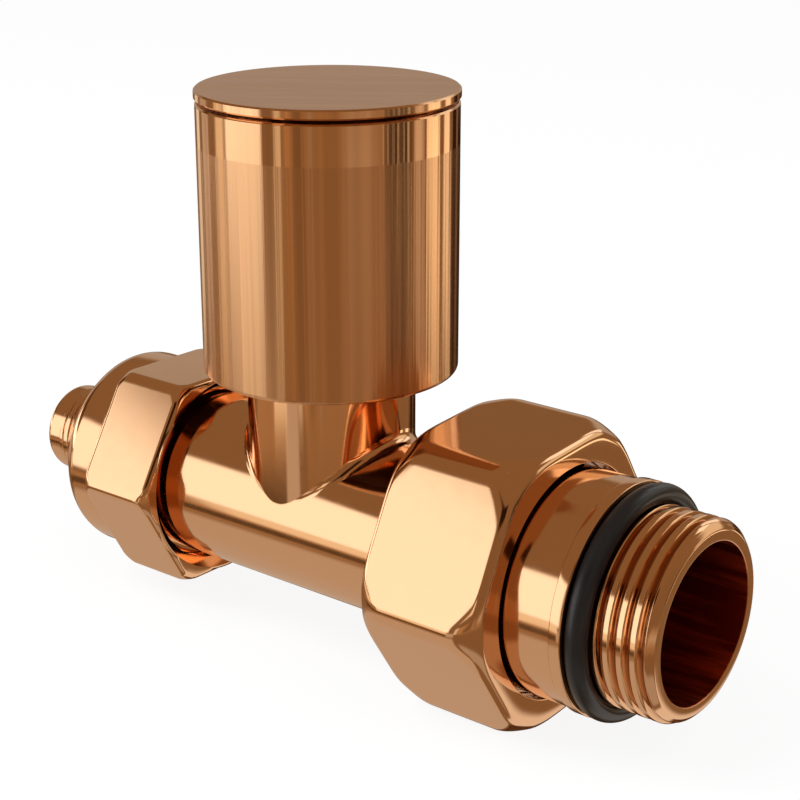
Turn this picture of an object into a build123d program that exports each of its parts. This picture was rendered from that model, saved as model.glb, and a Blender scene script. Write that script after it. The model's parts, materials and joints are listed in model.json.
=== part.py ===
from build123d import *
from math import cos, radians
import os

# A straight manual radiator valve in millimetres.
# It is drawn about the crossing of the flow axis (X) and the spindle axis (Z), then moved so that the origin
# lies on the flow axis where the radiator thread begins. +X points into the radiator, +Z up the spindle.

# Clearances
RUNNING_FIT = 0.05         # radial play of turning and screwed pieces
SEAL_FIT = 0.02            # radial play of sealing rings at rest
SEATED_GAP = 0.1           # play between pieces trapped end to end
LOOSE_GAP = 0.3            # play round pieces that are trapped loosely
PAST_FACE = 1.0            # how far a cut reaches past the face it opens

# Valve body
TUBE_R = 9.76
NECK_STEP = 0.51           # the neck is this much slimmer than the tube
NECK_R = TUBE_R - NECK_STEP
NECK_TOP = 21.2
NECK_BLEND = 1.3           # fillet where the neck grows out of the tube
PASSAGE_R = 6.6
CHAMBER_WALL = 1.65
CHAMBER_R = NECK_R - CHAMBER_WALL
PASSAGE_WALL = 1.5         # cast wall between the passages
WEB_THICKNESS = 1.8        # cross wall that carries the seat
PIPE_THREAD_RISE = 0.7175  # crests of the pipe thread over the tube
PIPE_THREAD_R = TUBE_R + PIPE_THREAD_RISE
PIPE_THREAD_LENGTH = 8.0
PIPE_END = -27.0
SOCKET_R = 7.6             # socket in the pipe end for the insert
SOCKET_DEPTH = 5.5
UNION_THREAD_RISE = 3.46   # crests of the union thread over the tube
UNION_THREAD_R = TUBE_R + UNION_THREAD_RISE
UNION_END = 25.0
UNION_THREAD_LENGTH = 7.0
UNION_THREAD_START = UNION_END - UNION_THREAD_LENGTH
THREAD_CHAMFER = 0.8

# Seat and lift
SEAT_TOP = 1.1
SEAT_BORE_R = 4.6
SEAT_RIM = 1.0
SEAT_HEIGHT = 0.9
POCKET_REACH = 0.9         # how far the pocket under the seat runs past the seat's bore
THREAD_PITCH = 1.5         # spindle thread
TURNS = 3                  # turns of the handle from open to shut
LIFT = THREAD_PITCH * TURNS

# Plug and its washer, drawn fully open
WASHER_R = 5.65
WASHER_THICKNESS = 2.0
WASHER_BOTTOM = SEAT_TOP + LIFT + SEATED_GAP
WASHER_TOP = WASHER_BOTTOM + WASHER_THICKNESS
CUP_WALL = 0.75            # rim of the plug round its washer
CUP_DEPTH = 1.2
PLUG_WEB = 1.2
PLUG_HEX = 11.0            # across flats
PLUG_HEAD = 1.4
PLUG_GUIDE_LENGTH = 6.5
PLUG_HEAD_TOP = WASHER_TOP + PLUG_HEAD
PLUG_TOP = PLUG_HEAD_TOP + PLUG_GUIDE_LENGTH
WASHER_SCREW_R = 1.5
WASHER_SCREW_HEAD_R = 2.6
WASHER_SCREW_HEAD = 1.2
WASHER_SCREW_EDGE = 0.5
SCREW_SLOT = 0.8
SCREW_SLOT_DEPTH = 0.6

# Spindle
SPINDLE_THREAD_R = 4.0
SPINDLE_R = 3.95
SPINDLE_LEAD = 0.5         # chamfer at the start of the thread
COLLAR_R = 5.3
COLLAR_HEIGHT = 1.0
THRUST_WASHER = 0.4
SPINDLE_BOTTOM = WASHER_TOP + PLUG_WEB + 2 * SEATED_GAP
COLLAR_BOTTOM = PLUG_TOP + LOOSE_GAP
COLLAR_TOP = COLLAR_BOTTOM + COLLAR_HEIGHT
SEAL_SECTION_R = 0.74
SEAL_LOWER_Z = 20.3
SEAL_UPPER_Z = 24.0
GROOVE_PLAY = 0.2          # axial play of a sealing ring in its groove
SPLINE_TEETH = 16
SPLINE_NOTCH_R = 0.4
SPLINE_LENGTH = 7.4
HANDLE_SCREW_R = 1.95
HANDLE_SCREW_LENGTH = 7.0

# Bonnet
BONNET_BOTTOM = PLUG_HEAD_TOP + 2 * SEATED_GAP
BONNET_WASHER = 0.8
BONNET_WASHER_INSET = 0.2
BONNET_WASHER_R = NECK_R - BONNET_WASHER_INSET
BONNET_HEX = 17.0          # across flats
BONNET_HEX_HEIGHT = 4.5
BONNET_CROWN_R = 9.8       # turned limit of the hexagon's corners
BONNET_CHAMFER = 1.2
TOWER_R = 5.6
TOWER_HEIGHT = 6.5
TOWER_CHAMFER = 0.5
HEX_START = NECK_TOP + BONNET_WASHER
HEX_TOP = HEX_START + BONNET_HEX_HEIGHT
TOWER_TOP = HEX_TOP + TOWER_HEIGHT
CLIP_THICKNESS = 0.8
CLIP_R = 5.4
CLIP_GROOVE_R = 3.2
CLIP_BOTTOM = TOWER_TOP + SEATED_GAP
CLIP_OPENING = 4.8
CLIP_TO_SPLINE = 0.6
SPLINE_START = CLIP_BOTTOM + CLIP_THICKNESS + CLIP_TO_SPLINE
SPINDLE_TOP = SPLINE_START + SPLINE_LENGTH

# Handle
SKIRT_R = 13.9
SKIRT_WALL = 1.2
SKIRT_BOTTOM = 16.8
SKIRT_LIP = 0.45           # rounding of the skirt's lower edge
CAP_OVERHANG = 0.1
CAP_R = SKIRT_R + CAP_OVERHANG
CAP_TOP = 47.3
CAP_THICKNESS = 1.06
CAP_EDGE = 0.18
SHADOW_GAP = 0.4           # dark line between cap and skirt
SKIRT_TOP = CAP_TOP - CAP_THICKNESS - SHADOW_GAP
TOP_LIP_HEIGHT = 1.2
TOP_LIP_WIDTH = 0.7
CAP_SPIGOT_WALL = 1.5
HUB_PLATE = 4.1
HUB_BOSS_R = 7.0
HUB_CHAMFER = 0.6
HUB_FLOOR = 0.8
HUB_HOLES = 6
HUB_HOLE_R = 1.7
HANDLE_SCREW_HEAD_R = 3.4
HANDLE_SCREW_HEAD = 1.8
HANDLE_SCREW_EDGE = 0.8
HANDLE_SCREW_CROSS_R = 2.4
HANDLE_SCREW_WASHER = 0.6
HANDLE_SCREW_WASHER_R = 3.6

# Union nut and tail
UNION_NUT_MOUTH = 1.2      # plain mouth of the nut ahead of the thread
UNION_NUT_LEFT = UNION_THREAD_START - UNION_NUT_MOUTH
UNION_NUT_REACH = 7.0
UNION_NUT_RIGHT = UNION_END + UNION_NUT_REACH
UNION_NUT_WALL = 1.78      # nut metal left between the thread and the middle of a flat
UNION_NUT_HEX = 2 * (UNION_THREAD_R + UNION_NUT_WALL)
UNION_NUT_CORNER = 3.0     # rounding of the six long corners
UNION_NUT_CROWN = 4.5      # rounding of the turned ends
UNION_NUT_EDGE = 1.2       # polished edge between flats and crowned ends
UNION_NUT_TURN = 3.0       # how far the nut stands turned, in degrees
UNION_NUT_LIP = 0.72       # how far the nut's shoulder reaches in from its thread
UNION_NUT_HOLE_R = UNION_THREAD_R - UNION_NUT_LIP
UNION_SEAL_THICKNESS = 1.5
TAIL_LEFT = UNION_END + UNION_SEAL_THICKNESS
SHOULDER_GAP = 0.4
UNION_SHOULDER = TAIL_LEFT + SHOULDER_GAP
TAIL_PLAY = 0.44           # open gap between tail and nut, bridged by the wire ring
TAIL_R = UNION_NUT_HOLE_R - TAIL_PLAY
TAIL_CHAMFER = 0.4
TAIL_BORE_R = 8.37
SHANK_LENGTH = 14.85       # tail up to the first turn of the radiator thread
SPINDLE_TO_THREAD = TAIL_LEFT + SHANK_LENGTH
RADIATOR_THREAD_LENGTH = 6.45
TAIL_END = SPINDLE_TO_THREAD + RADIATOR_THREAD_LENGTH
FLANGE_RISE = 0.27
FLANGE_R = TAIL_R + FLANGE_RISE
FLANGE_WIDTH = 1.35
FLANGE_EDGE = 0.12
RADIATOR_THREAD_R = 10.4775
THREAD_END_R = 9.52
THREAD_END_LENGTH = 0.8
TAIL_SEAL_SECTION_R = 1.15
TAIL_SEAL_INSET = 1.13     # centre line of the black ring under the flange
TAIL_SEAL_R = FLANGE_R - TAIL_SEAL_INSET
TAIL_SEAL_GAP = 0.1        # black ring to the first turn of the thread
NECK_UNDER_SEAL_R = TAIL_SEAL_R - TAIL_SEAL_SECTION_R - SEAL_FIT
FLANGE_FACE = SPINDLE_TO_THREAD - 2 * TAIL_SEAL_SECTION_R - TAIL_SEAL_GAP
WIRE_R = 0.68
WIRE_DEPTH = 2.7
WIRE_X = TAIL_LEFT + WIRE_DEPTH
WIRE_OPENING = 25          # degrees left open in the wire ring
UNION_SEAL_INNER_R = 9.0
UNION_SEAL_INSET = 0.26
UNION_SEAL_OUTER_R = TAIL_R - UNION_SEAL_INSET

# Compression nut, clamp ring and pipe insert
PIPE_NUT_GRIP = 10.5       # how far the nut reaches over the body
PIPE_NUT_RIGHT = PIPE_END + PIPE_NUT_GRIP
PIPE_NUT_HEX_LENGTH = 10.3
PIPE_NUT_HEX_LEFT = PIPE_NUT_RIGHT - PIPE_NUT_HEX_LENGTH
PIPE_NUT_WALL = 1.5225     # nut metal left between the thread and the middle of a flat
PIPE_NUT_HEX = 2 * (PIPE_THREAD_R + PIPE_NUT_WALL)
PIPE_NUT_CORNER = 1.8
PIPE_NUT_EDGE = 0.8
PIPE_NUT_TURN = -1.0
PIPE_NUT_COLLAR_STEP = 0.2 # the flats stand this much over the collar
PIPE_NUT_COLLAR_R = PIPE_NUT_HEX / 2 - PIPE_NUT_COLLAR_STEP
CLAMP_SPACE = 6.0          # room for the clamp ring and the shoulder of the insert
CONE_LEFT = PIPE_END - CLAMP_SPACE
INNER_CONE_LENGTH = 2.8
THREAD_BORE_LEFT = CONE_LEFT + INNER_CONE_LENGTH
PIPE_NUT_END_WALL = 2.3
PIPE_NUT_LEFT = CONE_LEFT - PIPE_NUT_END_WALL
END_CONE_LENGTH = 4.4
PIPE_NUT_CONE_START = PIPE_NUT_LEFT + END_CONE_LENGTH
PIPE_NUT_END_R = 8.1
PIPE_HOLE_R = 7.65
MOUTH_CHAMFER = 1.0
INSERT_REACH = 7.0         # stem standing out of the nut
INSERT_LEFT = PIPE_NUT_LEFT - INSERT_REACH
INSERT_R = 5.3
INSERT_BORE_R = 4.0
INSERT_NOSE = 0.8
INSERT_SHOULDER_INSET = 0.5775
INSERT_SHOULDER_R = PIPE_THREAD_R - INSERT_SHOULDER_INSET
INSERT_SHOULDER = 0.9
RIB_R = 5.8
RIB_PLACE = 3.55           # from the tip of the stem
RIB_LEFT = INSERT_LEFT + RIB_PLACE
RIB_WIDTH = 0.9
RIB_EDGE = 0.2
BEAD_R = 5.5
BEAD_PLACE = 2.55
BEAD_LEFT = INSERT_LEFT + BEAD_PLACE
BEAD_WIDTH = 0.65
BEAD_EDGE = 0.15
INSERT_SEAL_SECTION_R = 0.7
INSERT_SEAL_DEPTH = 2.6
INSERT_SEAL_X = PIPE_END + INSERT_SEAL_DEPTH
CLAMP_RING_INSET = 0.1775
CLAMP_RING_R = PIPE_THREAD_R - CLAMP_RING_INSET
CLAMP_RING_LIP = 0.5       # blunt front edge of the ring's cone
CLAMP_RING_SPLIT = 1.6

BASE = (Align.CENTER, Align.CENTER, Align.MIN)


def rod_x(radius, start, end):
    """A round bar along the flow axis."""
    return Plane.YZ.offset(start) * Cylinder(radius, end - start, align=BASE)


def rod_z(radius, start, end):
    """A round bar along the spindle axis."""
    return Pos(0, 0, start) * Cylinder(radius, end - start, align=BASE)


def cone_x(start_radius, end_radius, start, end):
    """A taper along the flow axis."""
    return Plane.YZ.offset(start) * Cone(start_radius, end_radius, end - start, align=BASE)


def corner_radius(across_flats):
    return across_flats / 2 / cos(radians(30))


def hexagon(across_flats, corner, turn=0):
    """A hexagon with rounded corners, one corner on its first axis before it is turned."""
    outline = RegularPolygon(across_flats / 2, 6, major_radius=False)
    if corner > 0:
        outline = fillet(outline.vertices(), corner)
    return Rot(0, 0, turn) * outline


def hex_x(across_flats, corner, turn, start, end):
    return extrude(Plane.YZ.offset(start) * hexagon(across_flats, corner, turn), end - start)


def hex_z(across_flats, start, end):
    return extrude(Pos(0, 0, start) * hexagon(across_flats, 0), end - start)


def ring_x(centre_radius, section_radius, place, opening=0):
    """A round-section ring about the flow axis, open over some degrees."""
    section = Pos(place, 0, centre_radius) * (Plane.XZ * Circle(section_radius))
    return revolve(section, Axis.X, 360 - opening)


def ring_z(centre_radius, section_radius, place):
    section = Pos(centre_radius, 0, place) * (Plane.XZ * Circle(section_radius))
    return revolve(section, Axis.Z, 360)


def circles_at(solid, axis, place, radius):
    """The circular edges of a turned solid that lie at one place and radius."""
    def fits(edge):
        centre = edge.arc_center
        along = centre.X if axis == "x" else centre.Z
        return abs(along - place) < 0.01 and abs(edge.radius - radius) < 0.01
    return ShapeList([e for e in solid.edges().filter_by(GeomType.CIRCLE) if fits(e)])


def body_outside():
    """Tube, neck and the two threaded ends."""
    tube = rod_x(TUBE_R, PIPE_END, UNION_END)
    neck = rod_z(NECK_R, 0, NECK_TOP)
    shell = tube + neck
    seam = [e for e in shell.edges() if e.geom_type not in (GeomType.LINE, GeomType.CIRCLE)]
    shell = fillet(seam, NECK_BLEND)
    pipe_thread = rod_x(PIPE_THREAD_R, PIPE_END, PIPE_END + PIPE_THREAD_LENGTH)
    pipe_thread = chamfer(pipe_thread.edges().filter_by(GeomType.CIRCLE), THREAD_CHAMFER / 2)
    union_thread = rod_x(UNION_THREAD_R, UNION_THREAD_START, UNION_END)
    union_thread = chamfer(union_thread.edges().filter_by(GeomType.CIRCLE), THREAD_CHAMFER)
    shell += pipe_thread + union_thread
    return chamfer(circles_at(shell, "z", NECK_TOP, NECK_R), THREAD_CHAMFER / 2)


def body_passages():
    """The way of the water: under the seat from the pipe, over it to the radiator."""
    floor = SEAT_TOP - SEAT_HEIGHT
    under_web = floor - WEB_THICKNESS
    inlet_end = -CHAMBER_R - PASSAGE_WALL
    pocket_end = SEAT_BORE_R + POCKET_REACH
    inlet = rod_x(PASSAGE_R, PIPE_END, inlet_end)
    pocket = rod_x(PASSAGE_R, inlet_end - PAST_FACE, pocket_end) - Pos(0, 0, under_web) * Box(
        2 * SPINDLE_TO_THREAD, 2 * TUBE_R, 2 * TUBE_R, align=BASE)
    seat_bore = rod_z(SEAT_BORE_R, under_web - PAST_FACE, NECK_TOP)
    chamber = rod_z(CHAMBER_R, floor, NECK_TOP) - rod_z(SEAT_BORE_R + SEAT_RIM, floor, SEAT_TOP)
    outlet = rod_x(PASSAGE_R, pocket_end + PASSAGE_WALL, UNION_END)
    socket = rod_x(SOCKET_R, PIPE_END, PIPE_END + SOCKET_DEPTH)
    return inlet + pocket + seat_bore + chamber + outlet + socket


def valve_body():
    return body_outside() - body_passages()


def bonnet():
    """Headwork: hexagon socket for the plug, bore for the spindle, hexagon for the spanner."""
    skirt = rod_z(CHAMBER_R - RUNNING_FIT, BONNET_BOTTOM, HEX_START)
    flange = hex_z(BONNET_HEX, HEX_START, HEX_TOP)
    crown = rod_z(BONNET_CROWN_R, HEX_START, HEX_TOP)
    crown = chamfer(circles_at(crown, "z", HEX_TOP, BONNET_CROWN_R), BONNET_CHAMFER)
    tower = rod_z(TOWER_R, HEX_TOP, TOWER_TOP)
    tower = chamfer(circles_at(tower, "z", TOWER_TOP, TOWER_R), TOWER_CHAMFER)
    solid = skirt + (flange & crown) + tower
    guide = hex_z(PLUG_HEX + 2 * RUNNING_FIT, BONNET_BOTTOM, COLLAR_BOTTOM)
    recess = rod_z(COLLAR_R + LOOSE_GAP, PLUG_TOP, COLLAR_TOP + THRUST_WASHER + SEATED_GAP)
    bore = rod_z(SPINDLE_R + RUNNING_FIT, PLUG_TOP, TOWER_TOP)
    return solid - guide - recess - bore


def bonnet_washer():
    return rod_z(BONNET_WASHER_R, NECK_TOP, HEX_START) - rod_z(CHAMBER_R, NECK_TOP, HEX_START)


def spline_section(play):
    """Serrated head of the spindle; the socket of the hub is the same form with play all round."""
    notches = PolarLocations(SPINDLE_R, SPLINE_TEETH) * Circle(SPLINE_NOTCH_R - play)
    return Circle(SPINDLE_R + play) - notches


def seal_groove(place):
    half_width = SEAL_SECTION_R + GROOVE_PLAY / 2
    groove_r = SPINDLE_R + RUNNING_FIT - 2 * SEAL_SECTION_R - 2 * SEAL_FIT
    return rod_z(SPINDLE_R + PAST_FACE, place - half_width, place + half_width) - rod_z(
        groove_r, place - half_width, place + half_width)


def spindle():
    """Thread for the plug, collar, two ring grooves, clip groove and splined head."""
    thread = rod_z(SPINDLE_THREAD_R, SPINDLE_BOTTOM, COLLAR_BOTTOM)
    thread = chamfer(circles_at(thread, "z", SPINDLE_BOTTOM, SPINDLE_THREAD_R), SPINDLE_LEAD)
    collar = rod_z(COLLAR_R, COLLAR_BOTTOM, COLLAR_TOP)
    shank = rod_z(SPINDLE_R, COLLAR_TOP, SPLINE_START)
    head = extrude(Pos(0, 0, SPLINE_START) * spline_section(0), SPLINE_LENGTH)
    clip_groove = rod_z(SPINDLE_R + PAST_FACE, CLIP_BOTTOM, CLIP_BOTTOM + CLIP_THICKNESS)
    clip_groove -= rod_z(CLIP_GROOVE_R, CLIP_BOTTOM, CLIP_BOTTOM + CLIP_THICKNESS)
    screw_hole = rod_z(HANDLE_SCREW_R + RUNNING_FIT, SPINDLE_TOP - HANDLE_SCREW_LENGTH, SPINDLE_TOP)
    solid = thread + collar + shank + head - clip_groove - screw_hole
    return solid - seal_groove(SEAL_LOWER_Z) - seal_groove(SEAL_UPPER_Z)


def spindle_seal(place):
    centre = SPINDLE_R + RUNNING_FIT - SEAL_FIT - SEAL_SECTION_R
    return ring_z(centre, SEAL_SECTION_R, place)


def spindle_clip():
    """Open retaining ring that rests on the tower of the bonnet."""
    top = CLIP_BOTTOM + CLIP_THICKNESS
    disc = rod_z(CLIP_R, CLIP_BOTTOM, top) - rod_z(CLIP_GROOVE_R + SEAL_FIT, CLIP_BOTTOM, top)
    opening = Pos(0, 0, CLIP_BOTTOM) * Box(
        2 * CLIP_R, CLIP_OPENING, CLIP_THICKNESS, align=(Align.MIN, Align.CENTER, Align.MIN))
    return disc - opening


def thrust_washer():
    top = COLLAR_TOP + THRUST_WASHER
    return rod_z(COLLAR_R, COLLAR_TOP, top) - rod_z(SPINDLE_R + RUNNING_FIT, COLLAR_TOP, top)


def valve_plug():
    """Hexagon that slides in the bonnet, threaded inside, with a cup for the seat washer."""
    guide = hex_z(PLUG_HEX, PLUG_HEAD_TOP, PLUG_TOP)
    head = rod_z(WASHER_R + CUP_WALL, WASHER_TOP - CUP_DEPTH, PLUG_HEAD_TOP)
    cup = rod_z(WASHER_R + SEAL_FIT, WASHER_TOP - CUP_DEPTH, WASHER_TOP)
    thread = rod_z(SPINDLE_THREAD_R + RUNNING_FIT, WASHER_TOP + PLUG_WEB, PLUG_TOP)
    screw_hole = rod_z(WASHER_SCREW_R + SEAL_FIT, WASHER_TOP, WASHER_TOP + PLUG_WEB)
    return guide + head - cup - thread - screw_hole


def seat_washer():
    disc = rod_z(WASHER_R, WASHER_BOTTOM, WASHER_TOP)
    return disc - rod_z(WASHER_SCREW_R + SEAL_FIT, WASHER_BOTTOM, WASHER_TOP)


def seat_washer_screw():
    head_bottom = WASHER_BOTTOM - WASHER_SCREW_HEAD
    head = rod_z(WASHER_SCREW_HEAD_R, head_bottom, WASHER_BOTTOM)
    head = fillet(circles_at(head, "z", head_bottom, WASHER_SCREW_HEAD_R), WASHER_SCREW_EDGE)
    shank = rod_z(WASHER_SCREW_R, WASHER_BOTTOM, WASHER_TOP + PLUG_WEB)
    slot = Pos(0, 0, head_bottom) * Box(2 * WASHER_SCREW_HEAD_R, SCREW_SLOT, SCREW_SLOT_DEPTH, align=BASE)
    return head + shank - slot


def handle_sleeve():
    """Straight turned skirt, open below, with an inner lip at the top that the hub bears against."""
    skirt = rod_z(SKIRT_R, SKIRT_BOTTOM, SKIRT_TOP)
    lip_inner = SKIRT_R - SKIRT_WALL - TOP_LIP_WIDTH
    skirt -= rod_z(SKIRT_R - SKIRT_WALL, SKIRT_BOTTOM, SKIRT_TOP - TOP_LIP_HEIGHT)
    skirt -= rod_z(lip_inner, SKIRT_TOP - TOP_LIP_HEIGHT, SKIRT_TOP)
    skirt = fillet(circles_at(skirt, "z", SKIRT_BOTTOM, SKIRT_R), SKIRT_LIP)
    return chamfer(circles_at(skirt, "z", SKIRT_TOP, SKIRT_R), CAP_EDGE)


def handle_cap():
    """Flat disc with a short spigot pressed into the skirt's lip."""
    cap_bottom = CAP_TOP - CAP_THICKNESS
    disc = rod_z(CAP_R, cap_bottom, CAP_TOP)
    disc = chamfer(disc.edges().filter_by(GeomType.CIRCLE), CAP_EDGE)
    spigot_r = SKIRT_R - SKIRT_WALL - TOP_LIP_WIDTH - SEAL_FIT
    spigot_bottom = SKIRT_TOP - TOP_LIP_HEIGHT + SEATED_GAP
    spigot = rod_z(spigot_r, spigot_bottom, cap_bottom)
    return disc + spigot - rod_z(spigot_r - CAP_SPIGOT_WALL, spigot_bottom, cap_bottom)


def hub_levels():
    """Top of the hub, underside of its plate, and bottom of the recess for the screw head."""
    top = SKIRT_TOP - TOP_LIP_HEIGHT
    socket_top = SPINDLE_TOP + SEATED_GAP
    return top, top - HUB_PLATE, socket_top + HUB_FLOOR


def handle_hub():
    """Moulded insert: splined boss, plate pressed into the skirt, lightening holes."""
    top, plate_bottom, recess = hub_levels()
    plate = rod_z(SKIRT_R - SKIRT_WALL - SEAL_FIT, plate_bottom, top)
    boss = rod_z(HUB_BOSS_R, SPLINE_START + SEATED_GAP, plate_bottom)
    boss = chamfer(circles_at(boss, "z", SPLINE_START + SEATED_GAP, HUB_BOSS_R), HUB_CHAMFER)
    solid = plate + boss
    socket = Pos(0, 0, SPLINE_START) * spline_section(SEAL_FIT)
    solid -= extrude(socket, SPLINE_LENGTH + SEATED_GAP)
    solid -= rod_z(HANDLE_SCREW_R + RUNNING_FIT, SPINDLE_TOP, top)
    solid -= rod_z(HANDLE_SCREW_WASHER_R + LOOSE_GAP, recess, top)
    ring = (HUB_BOSS_R + SKIRT_R - SKIRT_WALL) / 2
    return solid - PolarLocations(ring, HUB_HOLES) * rod_z(HUB_HOLE_R, plate_bottom, top)


def handle_screw_washer():
    recess = hub_levels()[2]
    top = recess + HANDLE_SCREW_WASHER
    return rod_z(HANDLE_SCREW_WASHER_R, recess, top) - rod_z(HANDLE_SCREW_R + RUNNING_FIT, recess, top)


def handle_screw():
    """Pan head screw that draws the hub onto the spindle."""
    head_bottom = hub_levels()[2] + HANDLE_SCREW_WASHER
    head_top = head_bottom + HANDLE_SCREW_HEAD
    head = rod_z(HANDLE_SCREW_HEAD_R, head_bottom, head_top)
    head = fillet(circles_at(head, "z", head_top, HANDLE_SCREW_HEAD_R), HANDLE_SCREW_EDGE)
    shank = rod_z(HANDLE_SCREW_R, SPINDLE_TOP - HANDLE_SCREW_LENGTH + SEATED_GAP, head_bottom)
    slot = Pos(0, 0, head_top - SCREW_SLOT_DEPTH) * Box(
        2 * HANDLE_SCREW_HEAD_R, SCREW_SLOT, SCREW_SLOT_DEPTH, align=BASE)
    cross = Rot(0, 0, 90) * slot
    recess = (slot + cross) & rod_z(HANDLE_SCREW_CROSS_R, head_bottom, head_top)
    return head + shank - recess


def union_nut():
    """Hexagon with rounded corners and crowned ends, thread on the left, close hole on the right."""
    prism = hex_x(UNION_NUT_HEX, UNION_NUT_CORNER, UNION_NUT_TURN, UNION_NUT_LEFT, UNION_NUT_RIGHT)
    crown = rod_x(corner_radius(UNION_NUT_HEX), UNION_NUT_LEFT, UNION_NUT_RIGHT)
    crown = fillet(crown.edges().filter_by(GeomType.CIRCLE), UNION_NUT_CROWN)
    nut = prism & crown
    rims = [e for e in nut.edges() if e.geom_type == GeomType.BSPLINE]
    nut = fillet(rims, UNION_NUT_EDGE)
    nut -= rod_x(UNION_THREAD_R + RUNNING_FIT, UNION_NUT_LEFT, UNION_SHOULDER)
    nut -= rod_x(UNION_NUT_HOLE_R, UNION_SHOULDER, UNION_NUT_RIGHT)
    half_width = WIRE_R + GROOVE_PLAY / 2
    wire_groove = rod_x(wire_centre() + WIRE_R + RUNNING_FIT, WIRE_X - half_width, WIRE_X + half_width)
    return nut - wire_groove


def wire_centre():
    """The wire ring lies half in the nut and half in the tail."""
    return (TAIL_R + UNION_NUT_HOLE_R) / 2


def union_ring():
    return ring_x(wire_centre(), WIRE_R, WIRE_X, WIRE_OPENING)


def union_tail():
    """Smooth collar, sealing flange, neck under the black ring and the radiator thread."""
    collar = rod_x(TAIL_R, TAIL_LEFT, FLANGE_FACE - FLANGE_WIDTH)
    collar = chamfer(circles_at(collar, "x", TAIL_LEFT, TAIL_R), TAIL_CHAMFER)
    flange = rod_x(FLANGE_R, FLANGE_FACE - FLANGE_WIDTH, FLANGE_FACE)
    flange = chamfer(flange.edges().filter_by(GeomType.CIRCLE), FLANGE_EDGE)
    neck = rod_x(NECK_UNDER_SEAL_R, FLANGE_FACE, SPINDLE_TO_THREAD)
    thread = rod_x(RADIATOR_THREAD_R, SPINDLE_TO_THREAD, TAIL_END - THREAD_END_LENGTH)
    lead = cone_x(RADIATOR_THREAD_R, THREAD_END_R, TAIL_END - THREAD_END_LENGTH, TAIL_END)
    tail = collar + flange + neck + thread + lead
    half_width = WIRE_R + GROOVE_PLAY / 2
    groove = rod_x(TAIL_R + PAST_FACE, WIRE_X - half_width, WIRE_X + half_width)
    groove -= rod_x(wire_centre() - WIRE_R - RUNNING_FIT, WIRE_X - half_width, WIRE_X + half_width)
    return tail - groove - rod_x(TAIL_BORE_R, TAIL_LEFT, TAIL_END)


def tail_seal():
    return ring_x(TAIL_SEAL_R, TAIL_SEAL_SECTION_R, FLANGE_FACE + TAIL_SEAL_SECTION_R)


def union_seal():
    return rod_x(UNION_SEAL_OUTER_R, UNION_END, TAIL_LEFT) - rod_x(UNION_SEAL_INNER_R, UNION_END, TAIL_LEFT)


def compression_nut():
    """Hexagon, round collar and coned end in one piece, with the thread and the inner cone."""
    prism = hex_x(PIPE_NUT_HEX, PIPE_NUT_CORNER, PIPE_NUT_TURN, PIPE_NUT_HEX_LEFT, PIPE_NUT_RIGHT)
    ends = prism.faces().filter_by(Axis.X).edges()
    prism = fillet(ends, PIPE_NUT_EDGE)
    collar = rod_x(PIPE_NUT_COLLAR_R, PIPE_NUT_CONE_START, PIPE_NUT_HEX_LEFT)
    cone = cone_x(PIPE_NUT_END_R, PIPE_NUT_COLLAR_R, PIPE_NUT_LEFT, PIPE_NUT_CONE_START)
    nut = prism + collar + cone
    thread_r = PIPE_THREAD_R + RUNNING_FIT
    nut -= rod_x(thread_r, THREAD_BORE_LEFT, PIPE_NUT_RIGHT)
    nut -= cone_x(PIPE_HOLE_R, thread_r, CONE_LEFT, THREAD_BORE_LEFT)
    nut -= rod_x(PIPE_HOLE_R, PIPE_NUT_LEFT, CONE_LEFT)
    return nut - cone_x(thread_r, thread_r + MOUTH_CHAMFER, PIPE_NUT_RIGHT - MOUTH_CHAMFER, PIPE_NUT_RIGHT)


def clamp_ring():
    """Split brass ring with a cone that follows the nut's inner cone."""
    slope = (PIPE_THREAD_R + RUNNING_FIT - PIPE_HOLE_R) / (THREAD_BORE_LEFT - CONE_LEFT)
    right = PIPE_END - INSERT_SHOULDER - LOOSE_GAP
    knee = THREAD_BORE_LEFT + SEATED_GAP
    front_r = PIPE_HOLE_R + CLAMP_RING_LIP
    left = knee - (CLAMP_RING_R - front_r) / slope
    ring = rod_x(CLAMP_RING_R, knee, right) + cone_x(front_r, CLAMP_RING_R, left, knee)
    ring -= rod_x(PIPE_HOLE_R, left, right)
    return ring - Pos(right, 0, 0) * Box(4 * CLAMP_RING_R, CLAMP_RING_SPLIT, 2 * CLAMP_RING_R, align=BASE)


def pipe_insert():
    """Ribbed stem that the pipe is pushed over, shoulder and sealed spigot."""
    stem = rod_x(INSERT_R, INSERT_LEFT, PIPE_END)
    stem = fillet(circles_at(stem, "x", INSERT_LEFT, INSERT_R), INSERT_NOSE)
    rib = rod_x(RIB_R, RIB_LEFT, RIB_LEFT + RIB_WIDTH)
    rib = fillet(rib.edges().filter_by(GeomType.CIRCLE), RIB_EDGE)
    bead = rod_x(BEAD_R, BEAD_LEFT, BEAD_LEFT + BEAD_WIDTH)
    bead = fillet(bead.edges().filter_by(GeomType.CIRCLE), BEAD_EDGE)
    shoulder = rod_x(INSERT_SHOULDER_R, PIPE_END - INSERT_SHOULDER, PIPE_END)
    spigot_end = PIPE_END + SOCKET_DEPTH - LOOSE_GAP
    spigot = rod_x(SOCKET_R - RUNNING_FIT, PIPE_END, spigot_end)
    half_width = INSERT_SEAL_SECTION_R + GROOVE_PLAY / 2
    groove_r = SOCKET_R - 2 * INSERT_SEAL_SECTION_R - 2 * SEAL_FIT
    groove = rod_x(SOCKET_R, INSERT_SEAL_X - half_width, INSERT_SEAL_X + half_width)
    groove -= rod_x(groove_r, INSERT_SEAL_X - half_width, INSERT_SEAL_X + half_width)
    solid = stem + rib + bead + shoulder + spigot - groove
    return solid - rod_x(INSERT_BORE_R, INSERT_LEFT, spigot_end)


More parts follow.
